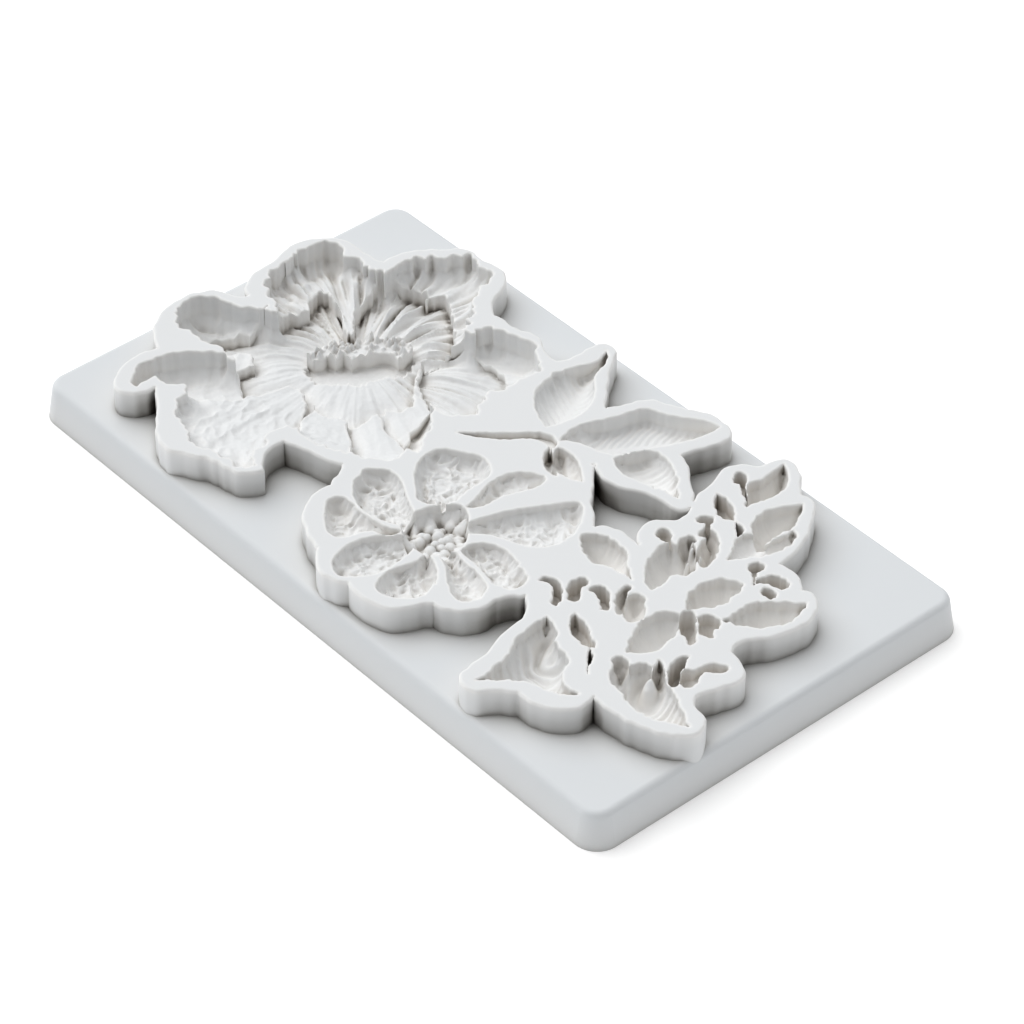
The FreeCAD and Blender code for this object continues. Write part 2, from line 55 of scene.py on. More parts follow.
ISLAND_SHIFT = -0.4       # places below are in the island's own drawing, this far off along Y
SAME_LEVEL = 0.05         # heights closer than this count as one level
SPACING = 0.24            # grid and outline spacing of the relief surface
OUTLINE_CLEARANCE = 0.22  # grid points stay this far from the outlines
ROW_OFFSET = 0.14         # a row of points runs this far to each side of every outline
ROW_CLEARANCE = 0.12      # points of those rows stay this far from the other outlines
GRID_CLEARANCE = 0.13     # grid points stay this far from those rows
PROBE = 0.03              # how far beside an outline the next level is looked up
WELL_ABOVE = 50           # levels are looked up straight down from this height
UPWARD = 0.9              # a face counts as level when its normal's Z is more than this
CORNER = math.radians(40)           # an outline that turns more than this has a corner
SHARP_EDGE = math.radians(62)       # faces that meet at more than this are shaded apart

# How far a loose end of each kind of outline may be moved to meet another outline.
SNAP_REACH = {"crease": 1.5, "step": 1.3, "rim": 0.5, "seam": 0.5, "outer": 0.5}

RIM_ROUNDING = 0.20       # radius of the brink round each cavity and step
OUTER_ROUNDING = 0.38     # radius of the island's outer top edge
STEP_FOOT = 0.35          # fillet at the foot of a low step inside a cavity
STEP_DIP = 1.3            # how far the floor dips at the foot of a step that faces the front
STEP_DIP_WIDTH = 4.5
DEEPEST_DIPPED = 4.8      # floors lower than this don't dip
TALL_WALL = 1.2           # walls above this height get five rows of points between the ends
LOW_WALL = 0.4            # and walls above this height get three
CAVITY_CLEARANCE = 0.3    # nothing in a cavity comes nearer to the island's top than this
OUTER_FLUTE = 0.15        # half the height of the waves in the island's outer wall
RIM_FLUTES = (0.70, 0.60)           # broad and tight waves in the rims of the peony's petals
STEP_FLUTES = (0.45, 0.28)          # the same in the steps between its petals
FLUTE_TAPER = 0.8         # waves fade out over this length at an outline's ends
PAINTED_LIGHT_REACH = 0.5           # how far from a brink the island's top gets painted light
WALL_PAINTED_LIGHT_REACH = 0.8           # how far down a wall the painted light reaches below its brink
WALL_PAINTED_LIGHT_SHARE = 0.9     # strength of the wall's painted light, where the brink itself has 1

# Discs with a finer grid: (x, y, radius, spacing).
FINE_DISCS = [
    (6.3, -15.0, 17.5, 0.18),
    (-34.0, -20.0, 8.5, 0.18),
    (-35.0, 5.6, 7.4, 0.13),
    (6.3, -15.0, 3.6, 0.13),
    (34.0, 9.0, 2.8, 0.13),
]
SHELF_LEVEL = 6.8         # height of the peony's shelf of stamens

# Each cavity wall runs out into the floor in a slope: (its width, the share of the depth that
# it climbs).  Far walls are the ones that face the front.
FAR_SLOPE = {
    "peony_block": (2.2, 0.40),
    "leaf_sprig_block": (0.8, 0.20),
    "daisy_block": (1.5, 0.50),
    "blossom_spray_block": (2.8, 0.58),
}
NEAR_SLOPE = {
    "peony_block": (0.6, 0.12),
    "leaf_sprig_block": (3.0, 0.55),
    "daisy_block": (1.2, 0.45),
    "blossom_spray_block": (0.8, 0.12),
}
FRONT = (0.755, -0.655)    # the way that the cavities' far walls face

CAMERA_AZIMUTH = 49.07     # degrees round from -Y towards +X
CAMERA_ELEVATION = 40.52
CAMERA_DISTANCE = 630.2    # from the slab's middle, before it is moved right and up
CAMERA_RIGHT = 3.78
CAMERA_UP = 0.945
CAMERA_LENS = 151.02       # focal length, for a 36 mm wide sensor


# ---------------------------------------------------------------- reading the CAD surfaces

def level_triangles(node):
    """The corners of every triangle of a CAD node that faces straight up."""
    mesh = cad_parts[node].data
    mesh.calc_loop_triangles()
    corners = np.empty(len(mesh.vertices) * 3)
    mesh.vertices.foreach_get("co", corners)
    corners = corners.reshape(-1, 3) / MM
    corners[:, 1] -= ISLAND_SHIFT
    index = np.empty(len(mesh.loop_triangles) * 3, dtype=int)
    mesh.loop_triangles.foreach_get("vertices", index)
    triangles = corners[index.reshape(-1, 3)]
    normal = np.cross(triangles[:, 1] - triangles[:, 0], triangles[:, 2] - triangles[:, 0])
    upward = normal[:, 2] > UPWARD * np.linalg.norm(normal, axis=1)
    return triangles[upward]


class Levels:
    """Looks up which block a point is over and the height of its level surface there."""

    def __init__(self):
        self.triangles = [level_triangles(name) for name in BLOCKS]
        flat = np.concatenate(self.triangles)
        self.block = np.repeat(np.arange(len(BLOCKS)), [len(t) for t in self.triangles])
        index = np.arange(len(flat) * 3).reshape(-1, 3)
        self.tree = BVHTree.FromPolygons(flat.reshape(-1, 3).tolist(), index.tolist())

    def at(self, x, y):
        """(block number, height), or (None, None) off the island."""
        hit = self.tree.ray_cast(Vector((x, y, WELL_ABOVE)), Vector((0, 0, -1)))
        if hit[0] is None:
            return None, None
        return int(self.block[hit[2]]), hit[0].z


def drop_edges(levels):
    """Edges of level surfaces beside which the surface drops or another block starts."""
    found = []
    for number, triangles in enumerate(levels.triangles):
        sides = {}    # edges that only one triangle has; a dict, because it keeps their order
        for triangle in triangles:
            keys = [tuple(round(float(c), 4) for c in corner) for corner in triangle]
            for k in range(3):
                pair = (keys[k], keys[(k + 1) % 3])
                if pair[::-1] in sides:
                    del sides[pair[::-1]]
                else:
                    sides[pair] = True
        for start, end in sides:
            dx = end[0] - start[0]
            dy = end[1] - start[1]
            length = math.hypot(dx, dy)
            if length < 1e-4:
                continue
            x = (start[0] + end[0]) / 2 + PROBE * dy / length
            y = (start[1] + end[1]) / 2 - PROBE * dx / length
            other, height = levels.at(x, y)
            if other is None:
                kind = "outer"
            elif other != number:
                if other < number:
                    continue
                kind = "seam"
            elif height < start[2] - SAME_LEVEL:
                kind = "rim" if start[2] > TOP - SAME_LEVEL else "step"
            else:
                continue
            found.append((start, end, kind))
    return found


def chains_of(edges):
    """Joins edges into runs of points; a run ends where runs meet or the kind changes."""
    following = {}
    arriving = {}
    for start, end, kind in edges:
        following.setdefault(start, []).append((end, kind))
        arriving.setdefault(end, []).append((start, kind))

    def passes(point):
        out = following.get(point, [])
        into = arriving.get(point, [])
        return len(out) == 1 and len(into) == 1 and out[0][1] == into[0][1]

    used = set()
    chains = []
    starts = [e for e in edges if not passes(e[0])] + edges
    for start, end, kind in starts:
        if (start, end) in used:
            continue
        run = [start, end]
        used.add((start, end))
        while passes(run[-1]) and run[-1] != run[0]:
            step = following[run[-1]][0][0]
            used.add((run[-1], step))
            run.append(step)
        chains.append((np.array(run)[:, :2], kind))
    return chains


# ---------------------------------------------------------------- outlines

def through(points, spacing, before=None, after=None):
    """Evenly spaced points on a smooth curve through some points.

    The points before and after it, where there are any, set its direction at the ends.
    """
    chord = np.linalg.norm(np.diff(points, axis=0), axis=1)
    along = np.concatenate([[0], np.cumsum(chord)])
    slope = np.diff(points, axis=0) / chord[:, None]
    first = slope[0] if before is None else (points[1] - before) / np.linalg.norm(points[1] - before)
    last = slope[-1] if after is None else (after - points[-2]) / np.linalg.norm(after - points[-2])
    weight = chord[:, None]
    middle = (slope[1:] * weight[:-1] + slope[:-1] * weight[1:]) / (weight[:-1] + weight[1:])
    tangent = np.vstack([first, middle, last])
    count = max(2, round(along[-1] / spacing))
    place = np.linspace(0, along[-1], count + 1)
    segment = np.clip(np.searchsorted(along, place, side="right") - 1, 0, len(chord) - 1)
    size = chord[segment]
    t = ((place - along[segment]) / size)[:, None]
    size = size[:, None]
    return (
        (2 * t**3 - 3 * t**2 + 1) * points[segment]
        + (t**3 - 2 * t**2 + t) * size * tangent[segment]
        + (3 * t**2 - 2 * t**3) * points[segment + 1]
        + (t**3 - t**2) * size * tangent[segment + 1]
    )


def turns(points):
    """How sharply a run turns at each inner point."""
    step = np.diff(points, axis=0)
    heading = np.arctan2(step[:, 1], step[:, 0])
    return np.abs((np.diff(heading) + math.pi) % (2 * math.pi) - math.pi)


def resampled(points, spacing):
    """A run as evenly spaced points, smooth except at its corners."""
    closed = np.allclose(points[0], points[-1])
    if closed:
        ring = points[:-1]
        turn = turns(np.vstack([ring[-1], ring, ring[0]]))
        ring = np.roll(ring, -int(np.argmax(turn)), axis=0)
        points = np.vstack([ring, ring[0]])
        smooth_join = turn.max() < CORNER
    turn = turns(points)
    stops = [0] + [k + 1 for k, t in enumerate(turn) if t > CORNER] + [len(points) - 1]
    pieces = []
    for a, b in zip(stops, stops[1:]):
        before = after = None
        if closed and smooth_join:
            before = points[-2]
            after = points[1]
        pieces.append(through(points[a:b + 1], spacing, before, after)[:-1])
    pieces.append(points[-1:])
    return np.vstack(pieces)


def normals_of(points):
    """The unit sideways direction at each point of a run, to its left."""
    step = np.gradient(points, axis=0)
    step /= np.linalg.norm(step, axis=1)[:, None] + 1e-9
    return np.column_stack([-step[:, 1], step[:, 0]])


def may_join(kind, other_kind):
    """Whether an outline's end may be moved onto another kind, which ranks as high or higher."""
    if other_kind == "crease":
        return kind == "crease"
    if kind == "outer":
        return other_kind == "outer"
    return not (kind in ("seam", "rim") and other_kind == "step")


def snapped(chains):
    """The outlines with each loose end moved onto the nearest point of another outline."""
    for k, (points, kind) in enumerate(chains):
        if np.allclose(points[0], points[-1]):
            continue
        for end in (0, -1):
            best = None
            for m, (others, other_kind) in enumerate(chains):
                if m == k or not may_join(kind, other_kind) or (kind == "outer" and m > k):
                    continue
                reach = np.linalg.norm(others - points[end], axis=1)
                nearest = int(np.argmin(reach))
                if best is None or reach[nearest] < best[0]:
                    best = (reach[nearest], others[nearest].copy())
            if best is not None and best[0] < SNAP_REACH[kind]:
                points[end] = best[1]
    return chains


def hex_grid(low, high, spacing):
    """Points of a triangular grid over a rectangle."""
    rows = np.arange(low[1], high[1], spacing * math.sqrt(3) / 2)
    columns = np.arange(low[0], high[0], spacing)
    x, y = np.meshgrid(columns, rows)
    x = x + (np.arange(len(rows)) % 2)[:, None] * spacing / 2
    return np.column_stack([x.ravel(), y.ravel()])


def near_tree(points):
    """A tree that finds the nearest of some plan points."""
    tree = kdtree.KDTree(len(points))
    for k, point in enumerate(points):
        tree.insert((point[0], point[1], 0), k)
    tree.balance()
    return tree


def distances(tree, points):
    """How far each point is from the nearest one in the tree."""
    return np.array([tree.find((x, y, 0))[2] for x, y in points])


def plan_mesh(chains):
    """A triangulation of the plan that has every outline as a row of edges."""
    index = {}
    points = []

    def place(point):
        key = (round(point[0], 3), round(point[1], 3))
        if key not in index:
            index[key] = len(points)
            points.append(key)
        return index[key]

    walls = []
    beside = []
    for run, kind in chains:
        ids = [place(point) for point in run]
        walls += [(a, b) for a, b in zip(ids, ids[1:]) if a != b]
        if kind != "seam":
            side = normals_of(run)
            beside += [run[1:-1] + side[1:-1] * d for d in (ROW_OFFSET, -ROW_OFFSET)]
    outline = near_tree(points)
    beside = np.vstack(beside)
    beside = beside[distances(outline, beside) > ROW_CLEARANCE]
    rows = near_tree(beside)
    low = np.min(points, axis=0) - 1
    high = np.max(points, axis=0) + 1
    grid = hex_grid(low, high, SPACING)
    for x, y, radius, spacing in FINE_DISCS:
        grid = grid[np.hypot(grid[:, 0] - x, grid[:, 1] - y) > radius]
        fine = hex_grid((x - radius, y - radius), (x + radius, y + radius), spacing)
        fine = fine[np.hypot(fine[:, 0] - x, fine[:, 1] - y) <= radius]
        grid = np.vstack([grid, fine])
    grid = grid[distances(outline, grid) > OUTLINE_CLEARANCE]
    grid = grid[distances(rows, grid) > GRID_CLEARANCE]
    every = [Vector(p) for p in points] + [Vector(p) for p in beside] + [Vector(p) for p in grid]
    coords, edges, faces, _, sources, _ = delaunay_2d_cdt(every, walls, [], 0, 1e-4)
    fixed = [edge for edge, source in zip(edges, sources) if source]
    return np.array([tuple(c) for c in coords]), np.array(fixed), np.array(faces)


def flood(faces, fixed, count):
    """Numbers the patches of triangles that the outlines separate.

    Returns each triangle's patch, the outline edges, and the triangle on each side of them.
    """
    size = count + 1
    sides = np.concatenate([faces[:, [0, 1]], faces[:, [1, 2]], faces[:, [2, 0]]])
    code = np.min(sides, axis=1) * size + np.max(sides, axis=1)
    owner = np.tile(np.arange(len(faces)), 3)
    order = np.argsort(code, kind="stable")
    code = code[order]
    owner = owner[order]
    same = np.nonzero(code[1:] == code[:-1])[0]
    first = owner[same]
    second = owner[same + 1]
    pair_code = code[same]
    wall_code = np.unique(np.min(fixed, axis=1) * size + np.max(fixed, axis=1))
    walled = np.isin(pair_code, wall_code)
    neighbours = [[] for _ in range(len(faces))]
    for a, b in zip(first[~walled].tolist(), second[~walled].tolist()):
        neighbours[a].append(b)
        neighbours[b].append(a)
    patch = np.full(len(faces), -1)
    number = 0
    for seed in range(len(faces)):
        if patch[seed] >= 0:
            continue
        patch[seed] = number
        stack = [seed]
        while stack:
            here = stack.pop()
            for there in neighbours[here]:
                if patch[there] < 0:
                    patch[there] = number
                    stack.append(there)
        number += 1
    edges = np.column_stack([pair_code[walled] // size, pair_code[walled] % size])
    return patch, edges, first[walled], second[walled]


# ---------------------------------------------------------------- folds inside the cavities

# Crease lines split a level patch in two: (name, points).  Each end is moved to the nearest wall.
CREASES = [
    ("trench", [
        (-40.4, -1.1), (-38.9, -0.8), (-38.4, 0.5), (-38.6, 1.5), (-37.1, 2.0), (-37.0, 3.4),
        (-35.4, 3.6), (-35.3, 5.2), (-34.5, 6.2), (-34.1, 7.6), (-33.5, 8.6), (-32.1, 9.2),
        (-30.9, 9.1), (-30.5, 9.9), (-31.2, 11.9),
    ]),
    ("near_panel_1", [
        (-23.1, -7.4), (-21.2, -8.7), (-19.1, -10.0), (-17.2, -11.1), (-14.8, -13.4),
    ]),
    ("near_panel_2", [
        (-22.5, -1.6), (-21.7, -1.7), (-18.9, -3.6), (-16.8, -4.2), (-14.8, -4.3),
        (-13.5, -4.9), (-12.3, -5.2), (-9.9, -7.8),
    ]),
    ("lens", [
        (-16.1, 2.6), (-16.1, 0.5), (-15.9, -1.1), (-14.6, -2.3), (-14.2, -4.0),
        (-12.2, -4.9), (-9.2, -6.2),
    ]),
    ("near_gap", [(-27.8, -12.3), (-25.8, -14.0), (-24.0, -15.5)]),
    ("near_left", [
        (-44.4, -23.4), (-44.1, -21.8), (-43.5, -21.4), (-42.3, -19.7), (-40.5, -17.9),
        (-38.8, -16.3), (-38.3, -15.3), (-38.3, -13.9),
    ]),
]

# A patch that holds a seed takes its level, and slopes: (x, y, level, rise along X, rise along Y).
SEEDS = [
    (-37.5, 6.6, SHELF_LEVEL, 0, 0),
    (-23.7, -9.8, 8.1, 0.22, -0.22),
    (-18.4, -6.8, 7.8, 0.16, -0.16),
    (-18.9, -0.9, 7.0, 0.06, -0.06),
    (-15.0, -0.3, 6.6, 0, 0),
    (-46.9, -17.0, 6.5, 0, 0),
    (-34.2, -19.9, 7.9, 0.08, -0.08),
]


# ---------------------------------------------------------------- building the island

def patch_levels(levels, coords, faces, patch):
    """The block and the height of each patch; (-1, pocket floor) off the island."""
    probes = 25             # as many triangles of a patch are looked up, spread over it
    centre = coords[faces].mean(axis=1)
    block = []
    height = []
    order = np.argsort(patch, kind="stable")
    bounds = np.searchsorted(patch[order], np.arange(patch.max() + 2))
    for number in range(patch.max() + 1):
        members = order[bounds[number]:bounds[number + 1]]
        tries = members[np.linspace(0, len(members) - 1, min(probes, len(members))).astype(int)]
        seen = [levels.at(*centre[k]) for k in tries]
        on = [s for s in seen if s[0] is not None]
        if len(on) * 2 < len(seen):
            block.append(-1)
            height.append(POCKET_FLOOR)
            continue
        blocks = [s[0] for s in on]
        block.append(max(set(blocks), key=blocks.count))
        height.append(sorted(s[1] for s in on)[len(on) // 2])
    return np.array(block), np.array(height)


def outlines(levels):
    """Every outline of the relief as (points, kind): CAD edges, and creases of the floors."""
    shortest = 0.05
    chains = []
    for points, kind in chains_of(drop_edges(levels)):
        if len(points) < 3 and np.linalg.norm(points[0] - points[-1]) < shortest:
            continue
        chains.append((fluted(resampled(points, SPACING), kind), kind))
    for _, points in CREASES:
        chains.append((resampled(np.array(points, dtype=float), SPACING), "crease"))
    return snapped(chains)


def island():
    """The island's surface in plan, with a height and an amount of painted edge light at each of its
    corners.

    A corner is a plan point seen from one patch; its code is point * number of patches + patch.
    """
    levels = Levels()
    chains = outlines(levels)
    coords, fixed, faces = plan_mesh(chains)
    patch, edges, left, right = flood(faces, fixed, len(coords))
    block, height = patch_levels(levels, coords, faces, patch)
    centre = coords[faces].mean(axis=1)
    tilt = {}
    for x, y, level, rise_x, rise_y in SEEDS:
        reach = np.hypot(centre[:, 0] - x, centre[:, 1] - y)
        number = patch[int(np.argmin(reach))]
        height[number] = level
        tilt[number] = (x, y, rise_x, rise_y)

    codes = np.unique(faces * len(height) + patch[:, None])
    owner = codes % len(height)
    xy = coords[codes // len(height)]
    z = height[owner].copy()
    for number, (x, y, rise_x, rise_y) in tilt.items():
        mine = owner == number
        z[mine] += rise_x * (xy[mine, 0] - x) + rise_y * (xy[mine, 1] - y)

    # Each outline edge has a patch above it and one below it, unless it is a seam.
    step = height[patch[left]] - height[patch[right]]
    low_face = np.where(step > 0, right, left)
    inward = centre[low_face] - coords[edges].mean(axis=1)
    plan = SimpleNamespace(
        coords=coords, faces=faces, patch=patch, block=block, height=height,
        edges=edges, upper=np.where(step > 0, patch[left], patch[right]),
        lower=np.where(step > 0, patch[right], patch[left]),
        seam=(block[patch[left]] != block[patch[right]]) & (np.abs(step) < SAME_LEVEL),
        outer=(block[patch[left]] < 0) | (block[patch[right]] < 0),
        facing=inward @ np.array(FRONT) > 0,
    )
    lift, painted_light = relief(plan, xy, owner)
    z += lift
    in_cavity = height[owner] < TOP - SAME_LEVEL
    z[in_cavity] = np.minimum(z[in_cavity], TOP - CAVITY_CLEARANCE)
    plan.z = dict(zip(codes.tolist(), z.tolist()))
    plan.painted_light = dict(zip(codes.tolist(), painted_light.tolist()))
    return plan


def column(top, bottom, levels_between):
    """Heights of the points down one upright line of a wall."""
    stops = [top] + sorted(levels_between, reverse=True) + [bottom]
    heights = [top]
    for high, low in zip(stops, stops[1:]):
        drop = high - low
        if drop > TALL_WALL:
            inner = [high - 0.16, high - 0.45, (high + low) / 2, low + 0.5, low + 0.16]
        elif drop > LOW_WALL:
            inner = [high - 0.14, (high + low) / 2, low + 0.14]
        else:
            inner = []
        heights += inner + [low]
    return heights


def relief(plan, xy, owner):
    """How far each corner of the surface lies above its patch's level, and its painted edge light.
    """
    lift = np.zeros(len(xy))
    painted_light = np.zeros(len(xy))
    order = np.argsort(owner, kind="stable")
    starts = np.searchsorted(owner[order], np.arange(len(plan.height) + 1))
    under_rim = plan.height[plan.upper] > TOP - SAME_LEVEL
    for number in range(len(plan.height)):
        if plan.block[number] < 0:
            continue
        mine = order[starts[number]:starts[number + 1]]
        here = xy[mine]
        depth = TOP - plan.height[number]
        foot = (plan.lower == number) & ~plan.seam
        head = (plan.upper == number) & ~plan.seam
        if depth > SAME_LEVEL:
            shape = FLOORS[plan.block[number]]
            lift[mine] += [shape(x, y, depth) for x, y in here]
        if foot.any():
            half_width = reach_of(plan, foot, here).max()
            for slopes, side in ((FAR_SLOPE, plan.facing), (NEAR_SLOPE, ~plan.facing)):
                wall = foot & under_rim & side
                if wall.any():
                    width, share = fitted(slopes[BLOCKS[plan.block[number]]], half_width)
                    lift[mine] += share * depth * run_out(reach_of(plan, wall, here), width)
        step_foot = foot & ~under_rim
        if step_foot.any():
            lift[mine] += 0.5 * run_out(reach_of(plan, step_foot, here), STEP_FOOT) * STEP_FOOT
        front_step = step_foot & plan.facing
        if front_step.any() and plan.height[number] > DEEPEST_DIPPED:
            lift[mine] -= STEP_DIP * run_out(reach_of(plan, front_step, here), STEP_DIP_WIDTH)
        for brink, radius in (
            (head & ~plan.outer, RIM_ROUNDING),
            (head & plan.outer, OUTER_ROUNDING),
        ):
            if brink.any():
                reach = reach_of(plan, brink, here)
                lift[mine] -= round_over(reach, radius)
                # Painted light on the top, fading out a short way from the brink.
                painted_light[mine] = np.maximum(painted_light[mine], 1 - reach / PAINTED_LIGHT_REACH)
    return lift, painted_light


def reach_of(plan, chosen, here):
    """How far each point is from the chosen outline edges."""
    return distances(near_tree(plan.coords[np.unique(plan.edges[chosen])]), here)


def fitted(wanted, half_width):
    """A wall's slope (width, share of depth), cut down where the cavity is narrow."""
    width, share = wanted
    narrowest = 0.7       # half widths at which the share starts to grow and is whole again
    widest = 1.6
    share *= min(1.0, max(0.15, (half_width - narrowest) / (widest - narrowest)))
    return max(0.1, min(width, 2.2 * half_width)), share


def round_over(reach, radius):
    """Drop of a convex quarter-round edge at a distance from the brink."""
    t = np.clip(1 - reach / radius, 0, 1)
    return radius * (1 - np.sqrt(1 - t * t))


def run_out(reach, width):
    """1 at the foot of a wall, falling in a hollow curve to 0 at a distance."""
    t = np.clip(1 - reach / width, 0, 1)
    return t ** 1.9


def streaks(angle, reach, fine):
    """Noise that runs in rays from a flower's middle, about -1 to 1."""
    x = math.cos(angle) * fine + 0.43
    y = math.sin(angle) * fine + 0.29
    return noise.noise(Vector((x, y, reach * 0.10 + 0.5)))


def waves(x, y, fineness, seed):
    """Smooth noise over the plan, about -1 to 1."""
    return noise.noise(Vector((x * fineness, y * fineness, seed)))


def around(middle, x, y):
    """The angle and the distance of a point seen from a flower's middle."""
    dx = x - middle[0]
    dy = y - middle[1]
    return math.atan2(dy, dx), math.hypot(dx, dy)


def bell(angle, middle, width):
    """1 at an angle in degrees, falling to 0 about a width away."""
    off = (math.degrees(angle) - middle + 180) % 360 - 180
    return math.exp(-(off / width) ** 2)


def ease(value, low, high):
    """0 below low, 1 above high, and a smooth change between."""
    t = min(1.0, max(0.0, (value - low) / (high - low)))
    return t * t * (3 - 2 * t)


PEONY_MIDDLE = (-36.0, 5.5)
PEONY_END = -8.5           # the peony's outlines lie below this x
DAISY_MIDDLE = (6.3, -15.0)
DAISY_PETAL_DEPTH = 2.8    # its petals are shallower than this and its middle is deeper
SPRAY_START = 20           # the spray's outlines lie above this x
SPRAY_FAR_END = 25         # and below this y, apart from its last leaf


# Where the peony's floors lie lower, as seen from its middle: (depth, direction, spread), with
# angles in degrees anticlockwise from +X.
DISHES = [(1.5, 160, 28), (1.1, 221, 22), (0.3, 107, 25)]

# Where they are wrinkled: (height, direction, spread, distances at which it starts and is whole).
WRINKLED = [(0.42, 275, 30, 15, 19), (0.60, 188, 42, 12, 16)]


def grains(x, y, size, seed):
    """Distance to the nearest of some scattered points, in units of their spacing."""
    return noise.voronoi(Vector((x / size, y / size, seed)))[0][0]


def peony_floor(x, y, depth):
    """Stamen spikes on the shelf; elsewhere ribs from the middle, folds, dishes and wrinkles."""
    angle, reach = around(PEONY_MIDDLE, x, y)
    toward_far = (y - PEONY_MIDDLE[1]) - (x - PEONY_MIDDLE[0])
    rough = 0.08 * noise.fractal(Vector((x * 0.9, y * 0.9, 1.5)), 0.8, 2.0, 3)
    if abs(depth - (TOP - SHELF_LEVEL)) < SAME_LEVEL:
        spike = max(0.0, 1 - grains(x, y, 1.05, 0.4) / 0.60)
        return 1.5 * spike - 0.3 + rough
    ribs = 1.25 * streaks(angle, reach, 12) + 0.65 * streaks(angle, reach, 28)
    far = max(ease(toward_far, -6, 10), 0.75 * bell(angle, 18, 26))
    fold = max(0.0, streaks(angle, reach, 9)) ** 2
    dish = sum(deep * bell(angle, toward, spread) for deep, toward, spread in DISHES)
    lift = ribs * ease(reach, 4, 12) * (0.18 + 0.82 * far) - dish * ease(reach, 16.5, 22)
    wrinkle = 1 - 2 * abs(noise.noise(Vector((x * 0.38 + y * 0.2, y * 0.38, 7.3))))
    crumple = sum(
        high * (wrinkle - 0.6) * bell(angle, toward, spread) * ease(reach, start, whole)
        for high, toward, spread, start, whole in WRINKLED
    )
    return lift - 1.8 * fold * far * ease(reach, 10, 20) + crumple + rough


def daisy_floor(x, y, depth):
    """Round seeds in the deep middle; in the petals folds and creases drawn out to the tips."""
    angle, reach = around(DAISY_MIDDLE, x, y)
    if depth > DAISY_PETAL_DEPTH:
        ball = math.sqrt(max(0.0, 1 - (grains(x, y, 1.5, 0.5) / 0.72) ** 2))
        return 1.5 * ball - 0.2
    out = reach * 0.55
    turn = angle * 9 + 0.9 * waves(x, y, 0.45, 4.1)
    broad = noise.noise(Vector((out * 0.6, turn * 0.5, 1.7)))
    folds = 1 - 2 * abs(noise.noise(Vector((out, turn, 5.2))))
    creases = 1 - 2 * abs(noise.noise(Vector((out * 2.1, turn * 2.1, 9.6))))
    return 0.35 * broad + 0.50 * (folds - 0.7) + 0.22 * (creases - 0.7)


STEM_DEPTH = 2             # the sprig's stem is shallower than this and its leaves are deeper
VEIN_SPACING = 1.35
MIDRIB_WIDTH = 0.35

# Leaves with veins: middle, half length, direction of the midrib in degrees, its height.
VEINED = [
    (-3.9, 21.0, 10.5, 113, 0.10),
    (9.6, 21.3, 11.5, 57, 0.10),
    (18.0, 16.8, 6.5, 8, 0.10),
    (8.7, 8.2, 3.6, -38, 0.45),
    (6.4, 7.3, 3.2, -38, 0.10),
]


def sprig_floor(x, y, depth):
    """A midrib and slanting veins in each leaf, and a plain floor in the shallow stem."""
    rough = 0.05 * noise.fractal(Vector((x * 0.8, y * 0.8, 3.7)), 0.8, 2.0, 2)
    if depth < STEM_DEPTH:
        return rough
    best = None
    for middle_x, middle_y, half, heading, rib in VEINED:
        turn = math.radians(heading)
        along = (x - middle_x) * math.cos(turn) + (y - middle_y) * math.sin(turn)
        across = (y - middle_y) * math.cos(turn) - (x - middle_x) * math.sin(turn)
        off = math.hypot(along / half, across / (half * 0.45))
        if best is None or off < best[0]:
            best = (off, along, across, rib)
    _, along, across, rib = best
    bend = 0.5 * waves(x, y, 0.3, 8.8)
    wave = math.sin(2 * math.pi * (along - 0.8 * abs(across) + bend) / VEIN_SPACING)
    veins = 0.10 * wave * ease(abs(across), 0.1, 0.9)
    return rough + veins + rib * math.exp(-(across / MIDRIB_WIDTH) ** 2)


PEGS = [(34.6, 7.9, 3.0), (33.4, 9.7, 2.4), (32.3, 10.9, 2.0), (35.3, 9.8, 2.6)]   # x, y, height
PEG_RADIUS = 0.42
KNOB = (49.6, -13.1)       # middle of the ringed knob
KNOB_RADIUS = 1.15
RIPPLED = (35.6, -17.6)    # middle of the ripples


def spray_floor(x, y, depth):
    """Pegs in the upper blossom, a ringed knob in the right bud and ripples in the front one."""
    lift = 0.10 * noise.fractal(Vector((x * 0.45, y * 0.45, 3.7)), 0.8, 2.0, 2)
    for peg_x, peg_y, high in PEGS:
        off = math.hypot(x - peg_x, y - peg_y)
        lift += high * math.exp(-(off / PEG_RADIUS) ** 4)
    if y < -9 and x > 43.5:
        off = math.hypot(x - KNOB[0], y - KNOB[1])
        lift += 2.4 * math.exp(-(off / KNOB_RADIUS) ** 4) - 0.5 * bump_at(off, 2.1, 0.7)
        lift += 0.22 * math.sin(2 * math.pi * off / 1.25) * ease(off, 2.4, 3.4)
    elif y < -15 and x < 46:
        off = math.hypot(x - RIPPLED[0], y - RIPPLED[1])
        sway = 0.8 * waves(x, y, 0.4, 5.5)
        lift += 0.30 * math.sin(2 * math.pi * (off + sway) / 1.7) * ease(off, 0.8, 2.0)
    return lift


def bump_at(value, middle, width):
    """1 at a value, falling to 0 about a width away."""
    return math.exp(-((value - middle) / width) ** 2)


FLOORS = [peony_floor, sprig_floor, daisy_floor, spray_floor]    # in the order of BLOCKS


def fluted(points, kind):
    """An outline with the fine waves that a petal's ribs give its edge."""
    if kind == "seam":
        return points
    side = normals_of(points)
    along = np.concatenate([[0], np.cumsum(np.linalg.norm(np.diff(points, axis=0), axis=1))])
    taper = np.clip(np.minimum(along, along[-1] - along) / FLUTE_TAPER, 0, 1)
    shift = np.array([flute(x, y, kind) for x, y in points])
    return points + side * (shift * taper)[:, None]


